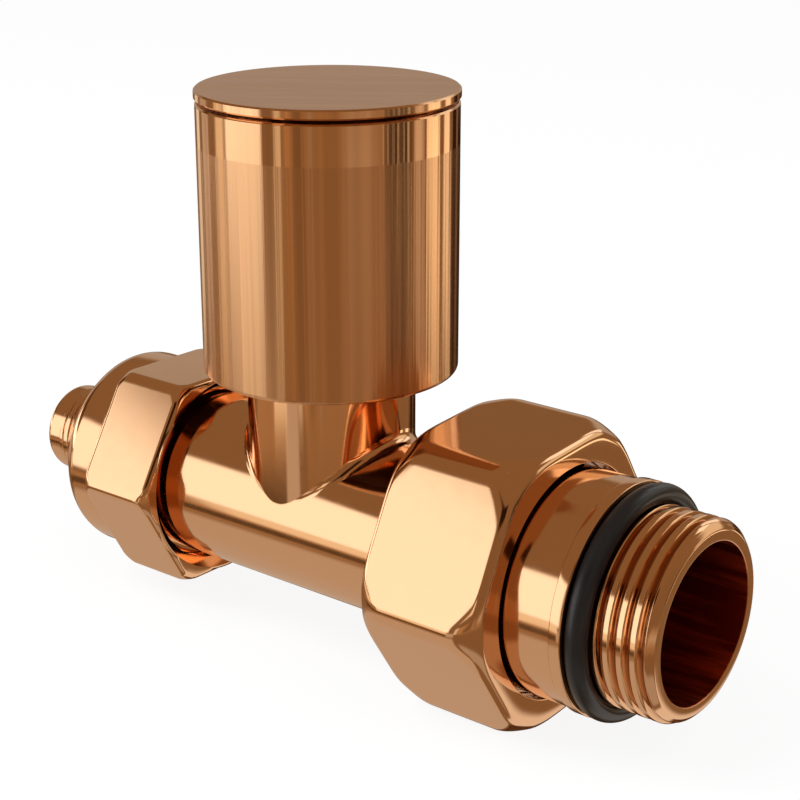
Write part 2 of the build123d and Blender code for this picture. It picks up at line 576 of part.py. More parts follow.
def insert_seal():
    return ring_x(SOCKET_R - SEAL_FIT - INSERT_SEAL_SECTION_R, INSERT_SEAL_SECTION_R, INSERT_SEAL_X)


PIECES = {
    "valve_body": valve_body,
    "bonnet": bonnet,
    "bonnet_washer": bonnet_washer,
    "spindle": spindle,
    "spindle_seal_lower": lambda: spindle_seal(SEAL_LOWER_Z),
    "spindle_seal_upper": lambda: spindle_seal(SEAL_UPPER_Z),
    "spindle_clip": spindle_clip,
    "thrust_washer": thrust_washer,
    "valve_plug": valve_plug,
    "seat_washer": seat_washer,
    "seat_washer_screw": seat_washer_screw,
    "handle_sleeve": handle_sleeve,
    "handle_cap": handle_cap,
    "handle_hub": handle_hub,
    "handle_screw": handle_screw,
    "handle_screw_washer": handle_screw_washer,
    "union_nut": union_nut,
    "union_ring": union_ring,
    "union_tail": union_tail,
    "tail_seal": tail_seal,
    "union_seal": union_seal,
    "compression_nut": compression_nut,
    "clamp_ring": clamp_ring,
    "pipe_insert": pipe_insert,
    "insert_seal": insert_seal,
}


def main():
    os.makedirs("parts", exist_ok=True)
    for name, build in PIECES.items():
        export_step(Pos(-SPINDLE_TO_THREAD, 0, 0) * build(), f"parts/{name}.step")
        print(name)


main()
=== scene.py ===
"""A straight manual radiator valve in copper plate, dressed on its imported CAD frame.

The union tail and the two nuts are modelled here, with their thread and their polished edges.
The other pieces are the solids of the frame in better finishes.
"""
import json
import math

import bmesh
import bpy
from bpy.props import FloatProperty, FloatVectorProperty, PointerProperty
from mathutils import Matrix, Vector

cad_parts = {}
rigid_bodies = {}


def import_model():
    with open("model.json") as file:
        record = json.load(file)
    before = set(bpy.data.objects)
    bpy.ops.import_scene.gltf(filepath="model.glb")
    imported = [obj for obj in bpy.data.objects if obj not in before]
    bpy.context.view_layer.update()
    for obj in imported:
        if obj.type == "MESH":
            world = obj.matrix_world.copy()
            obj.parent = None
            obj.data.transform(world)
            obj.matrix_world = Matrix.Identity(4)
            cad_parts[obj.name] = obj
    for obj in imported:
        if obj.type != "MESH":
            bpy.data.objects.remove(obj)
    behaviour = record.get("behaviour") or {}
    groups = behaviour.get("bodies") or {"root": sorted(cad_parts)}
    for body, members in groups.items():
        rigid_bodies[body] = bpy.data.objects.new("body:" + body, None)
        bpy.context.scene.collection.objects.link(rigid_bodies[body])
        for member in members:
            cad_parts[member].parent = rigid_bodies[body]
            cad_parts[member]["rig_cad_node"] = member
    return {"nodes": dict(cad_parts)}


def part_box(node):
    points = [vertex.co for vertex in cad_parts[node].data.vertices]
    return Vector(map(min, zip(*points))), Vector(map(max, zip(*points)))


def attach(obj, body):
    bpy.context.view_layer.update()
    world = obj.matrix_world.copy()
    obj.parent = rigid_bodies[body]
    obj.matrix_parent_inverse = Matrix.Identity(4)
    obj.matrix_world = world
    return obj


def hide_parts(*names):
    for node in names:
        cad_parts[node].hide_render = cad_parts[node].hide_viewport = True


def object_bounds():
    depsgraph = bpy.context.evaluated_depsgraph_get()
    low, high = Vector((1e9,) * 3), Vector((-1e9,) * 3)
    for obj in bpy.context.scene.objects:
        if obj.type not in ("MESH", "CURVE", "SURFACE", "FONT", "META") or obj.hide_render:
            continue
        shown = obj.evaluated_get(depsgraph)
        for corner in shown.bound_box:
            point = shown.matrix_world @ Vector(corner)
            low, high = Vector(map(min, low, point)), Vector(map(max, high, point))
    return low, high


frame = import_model()
for leftover in list(bpy.data.objects):
    if leftover.type in {"MESH", "LIGHT", "CAMERA"} and "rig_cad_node" not in leftover:
        bpy.data.objects.remove(leftover)
CAD_BOX = [list(corner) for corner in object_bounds()]

bl_info = {
    "name": "Radiator Valve",
    "version": (1, 0, 0),
    "blender": (4, 5, 0),
    "location": "3D View > Sidebar > Radiator Valve",
    "description": "Builds a straight manual radiator valve in copper plate",
    "category": "Add Mesh",
}

MM = 0.001
SMOOTH_UP_TO = math.radians(32)   # a sharper angle between two faces stays a crisp edge
SAME_PLACE = 1e-7                 # points that lie nearer to each other than this are one

# How finely the modelled pieces are divided, in steps along the flow axis and in steps round it.
THREAD_STEP = 0.05 * MM
FLAT_STEP = 0.12 * MM
TAIL_STEPS = 180
NUT_STEPS = 360

# Where one finish or a painted shade passes into the next, as inputs of a Map Range node: heights on the handle,
# a place along the tail, and radii on the tail.
SKIRT_BAND = {"From Min": 41.55 * MM, "From Max": 41.62 * MM}
CAP_GAP = {"From Min": 46.16 * MM, "From Max": 46.24 * MM}
CAP_TOP = {"From Min": 47.1 * MM, "From Max": 47.25 * MM}
TAIL_MOUTH = {"From Min": 5.4 * MM, "From Max": 5.8 * MM}
THREAD_ROOTS = {"From Min": 9.75 * MM, "From Max": 10.3 * MM}
TAIL_BORE = {"From Min": 8.38 * MM, "From Max": 8.48 * MM}

# Sockets of a Mix node by their place, since its numbers and its colours have the same names.
MIX_FACTOR, NUMBER_A, NUMBER_B, COLOUR_A, COLOUR_B = 0, 2, 3, 6, 7
MIXED_NUMBER, MIXED_COLOUR = 0, 2

COPPER_HAZE = {"To Min": 0.06, "To Max": 0.13}   # roughness of polished copper plate
HAIRLINE_SHADE = 0.85   # brightness of the copper in the hairlines
PAINTED_ROOT_SHADE = "#7A4526"  # painted shade: darker copper painted into the roots of the thread
BORE_PAINTED_SHADE = "#96381E"   # painted shade: dull dark red painted over the tail's bore
BORE_SHADE_STREAKS = "#F07844"   # brighter streaks within that painted shade
GAP_PAINTED_SHADE = "#2B1810"     # painted shade in the gap under the cap's rim
GLOSS_SPREAD = 0.15     # how much the roughness of a plain finish varies
START_ROUNDING = 0.7    # share of a nut's end rounding that the start of its chamfer takes


def linear(hex_colour):
    """An sRGB hex colour as linear red, green, blue and alpha."""
    values = [int(hex_colour[i:i + 2], 16) / 255 for i in (1, 3, 5)]
    return [v / 12.92 if v <= 0.04045 else ((v + 0.055) / 1.055) ** 2.4 for v in values] + [1.0]


def reach(node):
    """The lowest and highest corners of a solid's box."""
    low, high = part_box(node)
    return Vector(low), Vector(high)


SPINDLE_X = sum(corner.x for corner in reach("handle_cap")) / 2
FLOOR_Z = CAD_BOX[0][2]


def length(name, description, default):
    """A size as a property, its default in millimetres."""
    return FloatProperty(name=name, description=description, default=default * MM, unit="LENGTH", precision=5)


def angle(name, description, default):
    """An angle as a property, its default in degrees."""
    return FloatProperty(name=name, description=description, default=math.radians(default), subtype="ANGLE")


def colour(name, description, hex_colour):
    """A colour as a property, its default in sRGB hex."""
    return FloatVectorProperty(name=name, description=description, default=linear(hex_colour), size=4,
                               subtype="COLOR", min=0, max=1)


class TailSizes(bpy.types.PropertyGroup):
    collar_radius: length("Collar radius", "Smooth collar between nut and flange", 12.06)
    flange_radius: length("Flange radius", "Narrow flange that presses the black ring", 12.33)
    flange_start: length("Flange start", "Along the flow axis, from the first turn of the thread", -3.75)
    flange_end: length("Flange end", "Along the flow axis, from the first turn of the thread", -2.4)
    seat_radius: length("Ring seat radius", "Neck under the black ring", 10.03)
    bore_radius: length("Bore radius", "Water passage", 8.37)
    wire_place: length("Wire groove place", "Middle of the groove for the wire ring", -12.15)
    wire_width: length("Wire groove width", "Groove for the wire ring", 1.56)
    wire_floor: length("Wire groove floor", "Radius at the bottom of the tail's groove", 11.55)
    crest_radius: length("Crest radius", "Outside of the radiator thread", 10.4775)
    thread_pitch: length("Thread pitch", "From crest to crest, as the photograph shows it", 1.52)
    thread_depth: length("Thread depth", "From crest to root", 0.78)
    valley_width: length("Valley width", "Opening of the groove between two crests", 0.98)
    lead_length: length("Lead length", "Cone at the mouth", 0.8)
    lead_radius: length("Lead radius", "Small end of the cone", 9.52)
    thread_start: angle("Thread start", "Where the groove starts round the tail", 185)
    run_in_place: length("Run-in place", "Where the groove starts along the flow axis", 0.1)
    run_in_length: length("Run-in length", "Over which the groove grows to its depth", 0.4)
    run_out_place: length("Run-out place", "Where the groove ends, from the mouth", 0.3)
    run_out_length: length("Run-out length", "Over which the groove fades out", 0.5)
    edge_rounding: length("Edge rounding", "Radius of the turned edges", 0.12)
    cone_rounding: length("Cone rounding", "Radius between the thread and the cone at the mouth", 0.5)
    inlet_rounding: length("Inlet rounding", "Radius at the collar's inner end", 0.4)


class NutSizes(bpy.types.PropertyGroup):
    across_flats: length("Across flats", "Width over two opposite flats", 30.0)
    corner_rounding: length("Corner rounding", "Radius of the six long corners", 3.0)
    end_rounding: length("End rounding", "Radius between flats and end faces", 0.95)
    face_radius: length("End face radius", "Where the turned chamfer starts on the end faces", 15.5)
    blend: length("Blend", "Softness of the polished edge between flats and chamfer", 0.75)
    thread_radius: length("Thread bore radius", "Bore that runs on the body", 13.27)
    hole_radius: length("Hole radius", "Close hole round the tail", 12.5)
    shoulder_place: length("Shoulder place", "Where the close hole starts", -14.45)
    wire_roof: length("Wire groove roof", "Radius at the bottom of the nut's groove", 13.01)
    edge_rounding: length("Edge rounding", "Radius of the bore's edges", 0.12)
    chamfer: angle("Chamfer angle", "Of the turned ends against the end faces", 30)
    turn: angle("Turn", "How far the nut stands turned", 3)


class PipeNutSizes(bpy.types.PropertyGroup):
    across_flats: length("Across flats", "Width over two opposite flats", 24.0)
    hexagon_length: length("Hexagon length", "Along the flow axis", 10.3)
    corner_rounding: length("Corner rounding", "Radius of the six long corners", 1.3)
    end_rounding: length("End rounding", "Radius between flats and ends", 0.7)
    face_radius: length("End face radius", "Where the turned chamfer starts on the end faces", 13.0)
    blend: length("Blend", "Softness of the polished edge between flats and chamfer", 0.3)
    collar_radius: length("Collar radius", "Round collar behind the hexagon", 11.8)
    collar_margin: length("Collar margin", "How far the chamfer stays outside the collar", 0.02)
    collar_rounding: length("Collar rounding", "Radius between the collar and the outer cone", 0.8)
    edge_rounding: length("Edge rounding", "Radius of the edges at the pipe's hole", 0.2)
    end_radius: length("End radius", "Small end of the outer cone", 8.1)
    end_cone_length: length("Outer cone length", "Along the flow axis", 4.4)
    end_wall: length("End wall", "Thickness in front of the inner cone", 2.3)
    inner_cone_length: length("Inner cone length", "Cone that closes the clamp ring", 2.8)
    hole_radius: length("Hole radius", "Hole for the pipe", 7.65)
    thread_radius: length("Thread bore radius", "Bore that runs on the body", 10.5275)
    mouth_chamfer: length("Mouth chamfer", "Lead into the thread bore", 1.0)
    chamfer: angle("Chamfer angle", "Of the turned ends against the end faces", 30)
    turn: angle("Turn", "How far the nut stands turned", -1)


class Finishes(bpy.types.PropertyGroup):
    copper: colour("Copper plate", "Polished copper plating on brass", "#F8C79C")
    turned_copper: colour("Brushed copper plate", "Copper plating over a turned or brushed surface", "#F4BF90")
    brass: colour("Brass", "Machined brass of the inner works", "#E2BE78")
    steel: colour("Steel", "Screws, clip and washers", "#C9C9CC")
    rubber: colour("Rubber", "Sealing rings", "#131416")
    fibre: colour("Fibre", "Flat seals", "#8C4A3A")
    plastic: colour("Plastic", "Moulded insert of the handle", "#E2E0DA")
    floor: colour("Floor", "Studio floor", "#F6F6F5")


class StageSizes(bpy.types.PropertyGroup):
    camera_bearing: angle("Camera bearing", "Seen from above, from the flow axis", -51.3)
    lens: FloatProperty(name="Lens", description="Focal length on a 36 mm wide sensor", default=82.57)
    tent_radius: FloatProperty(name="Tent radius", description="Distance of the mirrored boards", default=1.6,
                               unit="LENGTH")


def add(tree, kind, inputs=None, **settings):
    """Adds a node. An input is given a value, or the output of another node."""
    node = tree.nodes.new(kind)
    for key, value in settings.items():
        setattr(node, key, value)
    for socket, value in (inputs or {}).items():
        if isinstance(value, bpy.types.NodeSocket):
            tree.links.new(value, node.inputs[socket])
        else:
            node.inputs[socket].default_value = value
    return node


def blank_material(name):
    """A new material and its empty node tree."""
    material = bpy.data.materials.new(name)
    material.use_nodes = True
    material.node_tree.nodes.clear()
    return material, material.node_tree


def grain_of(tree, size, turn=0.0, detail=3.0):
    """Noise in Object coordinates, its grain as long on each axis as size says, in millimetres."""
    place = add(tree, "ShaderNodeTexCoord")
    fitted = add(tree, "ShaderNodeMapping", {"Vector": place.outputs["Object"], "Rotation": (0, 0, turn),
                                             "Scale": [s * MM for s in size]}, vector_type="TEXTURE")
    return add(tree, "ShaderNodeTexNoise", {"Vector": fitted.outputs["Vector"], "Scale": 1.0, "Detail": detail})


def polished_copper():
    """Copper plating on polished brass: a near mirror with a slight haze and the soft waves of hand polishing."""
    material, tree = blank_material("mirror_copper_plate")
    grain = grain_of(tree, (1.5, 1.5, 1.5))
    haze = add(tree, "ShaderNodeMapRange", {"Value": grain.outputs["Fac"], **COPPER_HAZE})
    wave = grain_of(tree, (7, 7, 7), detail=1.0)
    dents = add(tree, "ShaderNodeBump", {"Height": wave.outputs["Fac"], "Strength": 0.25, "Distance": 0.02 * MM})
    metal = add(tree, "ShaderNodeBsdfPrincipled",
                {"Base Color": bpy.context.scene.valve_finishes.copper, "Metallic": 1.0,
                 "Roughness": haze.outputs["Result"], "Normal": dents.outputs["Normal"]})
    add(tree, "ShaderNodeOutputMaterial", {"Surface": metal.outputs["BSDF"]})
    return material


def threaded_copper():
    """Copper plating with painted shade in the roots of the thread and in the bore, where it is dull dark red with
    streaks along the flow axis.
    """
    material, tree = blank_material("threaded_copper_plate")
    place = add(tree, "ShaderNodeTexCoord")
    split = add(tree, "ShaderNodeSeparateXYZ", {"Vector": place.outputs["Object"]})
    across = add(tree, "ShaderNodeCombineXYZ", {"Y": split.outputs["Y"], "Z": split.outputs["Z"]})
    radius = add(tree, "ShaderNodeVectorMath", {0: across.outputs["Vector"]}, operation="LENGTH").outputs["Value"]
    # Painted shade: the copper darkens towards the roots of the thread, along the threaded length only.
    threaded = add(tree, "ShaderNodeMapRange",
                   {"Value": split.outputs["X"], **TAIL_MOUTH, "To Min": 1.0, "To Max": 0.0})
    sunk = add(tree, "ShaderNodeMapRange", {"Value": radius, **THREAD_ROOTS, "To Min": 0.6, "To Max": 0.0})
    root = add(tree, "ShaderNodeMath", {0: sunk.outputs["Result"], 1: threaded.outputs["Result"]},
               operation="MULTIPLY")
    # Painted shade: inside the bore the copper turns dull dark red, with brighter streaks along the flow axis.
    bore = add(tree, "ShaderNodeMapRange",
               {"Value": radius, **TAIL_BORE, "To Min": 1.0, "To Max": 0.0}).outputs["Result"]
    grain = grain_of(tree, (16, 1.6, 1.6))
    streaks = add(tree, "ShaderNodeMapRange", {"Value": grain.outputs["Fac"], "From Min": 0.45, "From Max": 0.65})
    red = add(tree, "ShaderNodeMix", {MIX_FACTOR: streaks.outputs["Result"], COLOUR_A: linear(BORE_PAINTED_SHADE),
                                      COLOUR_B: linear(BORE_SHADE_STREAKS)}, data_type="RGBA")
    root_shaded = add(tree, "ShaderNodeMix", {MIX_FACTOR: root.outputs["Value"], COLOUR_B: linear(PAINTED_ROOT_SHADE),
                                         COLOUR_A: bpy.context.scene.valve_finishes.copper}, data_type="RGBA")
    tint = add(tree, "ShaderNodeMix", {MIX_FACTOR: bore, COLOUR_A: root_shaded.outputs[MIXED_COLOUR],
                                       COLOUR_B: red.outputs[MIXED_COLOUR]}, data_type="RGBA")
    fine = grain_of(tree, (1.5, 1.5, 1.5))
    haze = add(tree, "ShaderNodeMapRange", {"Value": fine.outputs["Fac"], **COPPER_HAZE})
    rough = add(tree, "ShaderNodeMix", {MIX_FACTOR: bore, NUMBER_A: haze.outputs["Result"], NUMBER_B: 0.38})
    metal = add(tree, "ShaderNodeBsdfPrincipled", {"Base Color": tint.outputs[MIXED_COLOUR], "Metallic": 1.0,
                                                   "Roughness": rough.outputs[MIXED_NUMBER]})
    add(tree, "ShaderNodeOutputMaterial", {"Surface": metal.outputs["BSDF"]})
    return material


def hairline_tint(tree, grain):
    """The copper colour, a little darker in the hairlines."""
    bright = bpy.context.scene.valve_finishes.turned_copper
    dark = [channel * HAIRLINE_SHADE for channel in bright[:3]] + [1.0]
    depth = add(tree, "ShaderNodeMapRange", {"Value": grain.outputs["Fac"], "From Min": 0.62, "From Max": 0.35})
    tint = add(tree, "ShaderNodeMix", {MIX_FACTOR: depth.outputs["Result"], COLOUR_A: bright, COLOUR_B: dark},
               data_type="RGBA")
    return tint.outputs[MIXED_COLOUR]


def turned_copper():
    """Copper plating over a turned wall: the hairlines run round it, so each light is drawn out up and down.

    The top band was turned finer, so it is a little crisper.
    """
    material, tree = blank_material("turned_copper_plate")
    place = add(tree, "ShaderNodeTexCoord")
    split = add(tree, "ShaderNodeSeparateXYZ", {"Vector": place.outputs["Object"]})
    band = add(tree, "ShaderNodeMapRange", {"Value": split.outputs["Z"], **SKIRT_BAND}).outputs["Result"]
    hairlines = grain_of(tree, (40, 40, 0.14))
    streaks = grain_of(tree, (0.9, 0.9, 200))
    fine = add(tree, "ShaderNodeBump", {"Height": hairlines.outputs["Fac"], "Strength": 0.15, "Distance": 0.006 * MM})
    relief = add(tree, "ShaderNodeMapRange", {"Value": band, "To Min": 1.0, "To Max": 0.4})
    normal = add(tree, "ShaderNodeBump", {"Height": streaks.outputs["Fac"], "Strength": relief.outputs["Result"],
                                          "Distance": 0.036 * MM, "Normal": fine.outputs["Normal"]})
    rough = add(tree, "ShaderNodeMapRange", {"Value": band, "To Min": 0.18, "To Max": 0.1})
    along = add(tree, "ShaderNodeCombineXYZ", {"Z": 1.0})
    metal = add(tree, "ShaderNodeBsdfPrincipled",
                {"Base Color": hairline_tint(tree, streaks), "Metallic": 1.0,
                 "Roughness": rough.outputs["Result"], "Anisotropic": 1.0,
                 "Normal": normal.outputs["Normal"], "Tangent": along.outputs["Vector"]})
    add(tree, "ShaderNodeOutputMaterial", {"Surface": metal.outputs["BSDF"]})
    return material


def brushed_copper():
    """Copper plating over straight brushed brass: fine parallel hairlines on the flat soften what it shows.

    The narrow rim is only polished, and painted shade darkens the gap under it.
    """
    material, tree = blank_material("hairline_copper_plate")
    turn = math.radians(33)
    place = add(tree, "ShaderNodeTexCoord")
    split = add(tree, "ShaderNodeSeparateXYZ", {"Vector": place.outputs["Object"]})
    top = add(tree, "ShaderNodeMapRange", {"Value": split.outputs["Z"], **CAP_TOP}).outputs["Result"]
    # Painted shade: below the cap's rim, in the gap, the copper is painted near black brown.
    out_of_gap_shade = add(tree, "ShaderNodeMapRange", {"Value": split.outputs["Z"], **CAP_GAP})
    lines = grain_of(tree, (14, 0.22, 14), turn, 4.0)
    broad = grain_of(tree, (30, 2.5, 30), turn, 2.0)
    fine = add(tree, "ShaderNodeBump", {"Height": lines.outputs["Fac"], "Strength": top, "Distance": 0.006 * MM})
    flat = add(tree, "ShaderNodeMapRange", {"Value": broad.outputs["Fac"], "To Min": 0.2, "To Max": 0.27})
    rough = add(tree, "ShaderNodeMix", {MIX_FACTOR: top, NUMBER_A: 0.11, NUMBER_B: flat.outputs["Result"]})
    tint = add(tree, "ShaderNodeMix", {MIX_FACTOR: out_of_gap_shade.outputs["Result"], COLOUR_A: linear(GAP_PAINTED_SHADE),
                                       COLOUR_B: hairline_tint(tree, lines)}, data_type="RGBA")
    metal = add(tree, "ShaderNodeBsdfPrincipled",
                {"Base Color": tint.outputs[MIXED_COLOUR], "Metallic": 1.0,
                 "Roughness": rough.outputs[MIXED_NUMBER], "Normal": fine.outputs["Normal"]})
    add(tree, "ShaderNodeOutputMaterial", {"Surface": metal.outputs["BSDF"]})
    return material


def even_finish(name, colour_value, roughness, metallic=0.0, grain=0.4, relief=0.01):
    """A plain material whose gloss and surface vary a little with its grain. Grain and relief are in millimetres."""
    material, tree = blank_material(name)
    noise = grain_of(tree, (grain, grain, grain))
    bump = add(tree, "ShaderNodeBump", {"Height": noise.outputs["Fac"], "Strength": 0.3, "Distance": relief * MM})
    gloss = add(tree, "ShaderNodeMapRange",
                {"Value": noise.outputs["Fac"], "To Min": roughness * (1 - GLOSS_SPREAD),
                 "To Max": roughness * (1 + GLOSS_SPREAD)})
    surface = add(tree, "ShaderNodeBsdfPrincipled",
                  {"Base Color": colour_value, "Metallic": metallic, "Roughness": gloss.outputs["Result"],
                   "Normal": bump.outputs["Normal"]})
    add(tree, "ShaderNodeOutputMaterial", {"Surface": surface.outputs["BSDF"]})
    return material


def finish(name, maker):
    """The finish of that name, made the first time that it is asked for."""
    return bpy.data.materials.get(name) or maker()


def dress(nodes, material):
    """Gives solids of the frame their finish, through their material slots."""
    for node in nodes:
        slots = frame["nodes"][node].data.materials
        slots.clear()
        slots.append(material)


def turned_outline(points):
    """A bmesh with one closed wire in the plane of the flow axis. Points are (along, radius) in metres."""
    bm = bmesh.new()
    verts = [bm.verts.new((along, 0.0, radius)) for along, radius in points]
    for a, b in zip(verts, verts[1:] + verts[:1]):
        bm.edges.new((a, b))
    return bm, verts


def soften(bm, verts, radius, segments=6):
    """Rounds corners of an outline."""
    bmesh.ops.bevel(bm, geom=verts, offset=radius, segments=segments, affect="VERTICES", profile=0.5, material=-1)


def cut_finer(bm, step, start, end, radius):
    """Divides the outline beyond a radius, between two places on the flow axis, into steps along the axis."""
    for edge in list(bm.edges):
        a, b = (vert.co for vert in edge.verts)
        cuts = int(abs(a.x - b.x) / step) - 1
        if cuts > 0 and min(a.x, b.x) > start and max(a.x, b.x) < end and min(a.z, b.z) > radius:
            bmesh.ops.subdivide_edges(bm, edges=[edge], cuts=cuts)


def turn_round(bm, steps):
    """Turns an outline round the flow axis into a closed surface."""
    bmesh.ops.spin(bm, geom=bm.verts[:] + bm.edges[:], cent=(0, 0, 0), axis=(1, 0, 0), angle=math.tau,
                   steps=steps, use_merge=True)
    bmesh.ops.remove_doubles(bm, verts=bm.verts, dist=SAME_PLACE)
    bmesh.ops.recalc_face_normals(bm, faces=bm.faces)


def piece_from(bm, name, material, node, body):
    """Ends a modelled piece: crisp edges where faces meet sharply, and its place in the frame's scheme."""
    for face in bm.faces:
        face.smooth = True
    for edge in bm.edges:
        edge.smooth = edge.calc_face_angle(math.pi) < SMOOTH_UP_TO
    mesh = bpy.data.meshes.new(name)
    bm.to_mesh(mesh)
    bm.free()
    mesh.materials.append(material)
    piece = bpy.data.objects.new(name, mesh)
    bpy.context.scene.collection.objects.link(piece)
    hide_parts(node)
    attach(piece, body)


def axis_distance(co):
    """Distance of a place from the flow axis."""
    return math.hypot(co.y, co.z)


def set_radius(vert, radius):
    """Moves a point straight in or out, to a distance from the flow axis."""
    scale = radius / axis_distance(vert.co)
    vert.co.y *= scale
    vert.co.z *= scale


def ease(value):
    """A smooth passage from 0 to 1."""
    value = min(max(value, 0.0), 1.0)
    return value * value * (3 - 2 * value)


def smaller_of(a, b, blend):
    """The smaller of two heights, with a rounded passage from one to the other."""
    share = min(max(0.5 + 0.5 * (b - a) / blend, 0.0), 1.0)
    return b + (a - b) * share - blend * share * (1 - share)


def hexagon_radius(bearing, half_width, rounding):
    """Radius at a bearing of a hexagon with rounded corners. One corner lies at bearing zero."""
    from_corner = abs((bearing + math.pi / 6) % (math.pi / 3) - math.pi / 6)
    from_flat = math.pi / 6 - from_corner
    straight = math.atan2((half_width - rounding) * math.tan(math.pi / 6), half_width)
    if from_flat <= straight:
        return half_width / math.cos(from_flat)
    centre = (half_width - rounding) / math.cos(math.pi / 6)
    return centre * math.cos(from_corner) + math.sqrt(rounding ** 2 - (centre * math.sin(from_corner)) ** 2)


def turned_end(nut, depth):
    """Radius of a chamfered blank at a depth from the nearer end face, with a rounded start."""
    rounding = nut.end_rounding * START_ROUNDING
    radius = nut.face_radius + depth * math.tan(nut.chamfer)
    if depth < rounding:
        radius -= rounding - math.sqrt(max(rounding ** 2 - (rounding - depth) ** 2, 0.0))
    return radius


def press_hexagon(bm, nut, start, end, least=0.0):
    """Presses six flats and two turned chamfers into the blank between two places on the flow axis."""
    corner = nut.across_flats / math.sqrt(3)
    for vert in bm.verts:
        radius = axis_distance(vert.co)
        if radius > nut.face_radius:
            bearing = math.atan2(vert.co.z, vert.co.y) - nut.turn
            flat = radius - corner + hexagon_radius(bearing, nut.across_flats / 2, nut.corner_rounding)
            turned = turned_end(nut, min(vert.co.x - start, end - vert.co.x))
            set_radius(vert, max(smaller_of(flat, turned, nut.blend), least))


class RADIATOR_VALVE_OT_union_tail(bpy.types.Operator):
    """Turns the union tail with its flange and bore, and cuts the radiator thread into it"""
    bl_idname = "radiator_valve.union_tail"
    bl_label = "Union Tail"

    def execute(self, context):
        tail = context.scene.valve_tail
        low, high = reach("union_tail")
        groove = tail.wire_width / 2
        bm, verts = turned_outline([
            (low.x, tail.bore_radius), (high.x, tail.bore_radius), (high.x, tail.lead_radius),
            (high.x - tail.lead_length, tail.crest_radius), (0.0, tail.crest_radius), (0.0, tail.seat_radius),
            (tail.flange_end, tail.seat_radius), (tail.flange_end, tail.flange_radius),
            (tail.flange_start, tail.flange_radius), (tail.flange_start, tail.collar_radius),
            (tail.wire_place + groove, tail.collar_radius), (tail.wire_place + groove, tail.wire_floor),
            (tail.wire_place - groove, tail.wire_floor), (tail.wire_place - groove, tail.collar_radius),
            (low.x, tail.collar_radius)])
        # The mouth's two edges, the thread's first edge and the flange's two, then the cone and the inner end.
        soften(bm, [verts[1], verts[2], verts[4], verts[7], verts[8]], tail.edge_rounding, segments=4)
        soften(bm, [verts[3]], tail.cone_rounding)
        soften(bm, [verts[14]], tail.inlet_rounding)
        cut_finer(bm, THREAD_STEP, 0.0, high.x, tail.lead_radius)
        turn_round(bm, TAIL_STEPS)
        for vert in bm.verts:
            radius = axis_distance(vert.co)
            if vert.co.x > tail.run_in_place and radius > tail.lead_radius:
                self.cut_thread(vert, radius, tail, high.x)
        piece_from(bm, "threaded_union_tail", finish("threaded_copper_plate", threaded_copper),
                   "union_tail", "body")
        return {"FINISHED"}

    def cut_thread(self, vert, radius, tail, mouth):
        """Lowers a point of the turned surface to the right-handed groove, which runs out at both ends."""
        turns = vert.co.x / tail.thread_pitch - (math.atan2(vert.co.z, vert.co.y) - tail.thread_start) / math.tau
        from_valley = abs(turns - math.floor(turns) - 0.5) * tail.thread_pitch
        valley = 0.5 + 0.5 * math.cos(math.pi * min(from_valley * 2 / tail.valley_width, 1.0))
        run_in = ease((vert.co.x - tail.run_in_place) / tail.run_in_length)
        run_out = ease((mouth - tail.run_out_place - vert.co.x) / tail.run_out_length)
        set_radius(vert, radius - tail.thread_depth * valley * run_in * run_out)


class RADIATOR_VALVE_OT_union_nut(bpy.types.Operator):
    """Turns the union nut with its chamfered ends and presses its six flats, with polished edges"""
    bl_idname = "radiator_valve.union_nut"
    bl_label = "Union Nut"

    def execute(self, context):
        nut = context.scene.valve_nut
        tail = context.scene.valve_tail
        low, high = reach("union_nut")
        corner = nut.across_flats / math.sqrt(3)
        groove = tail.wire_width / 2
        bm, verts = turned_outline([
            (low.x, nut.thread_radius), (nut.shoulder_place, nut.thread_radius),
            (nut.shoulder_place, nut.hole_radius),
            (tail.wire_place - groove, nut.hole_radius), (tail.wire_place - groove, nut.wire_roof),
            (tail.wire_place + groove, nut.wire_roof), (tail.wire_place + groove, nut.hole_radius),
            (high.x, nut.hole_radius), (high.x, corner), (low.x, corner)])
        # Both ends of the bore, then both ends of the hexagon.
        soften(bm, [verts[0], verts[7]], nut.edge_rounding, segments=3)
        soften(bm, [verts[8], verts[9]], nut.end_rounding, segments=10)
        cut_finer(bm, FLAT_STEP, low.x, high.x, nut.face_radius)
        turn_round(bm, NUT_STEPS)
        press_hexagon(bm, nut, low.x, high.x)
        piece_from(bm, "polished_union_nut", finish("mirror_copper_plate", polished_copper),
                   "union_nut", "union_nut")
        return {"FINISHED"}


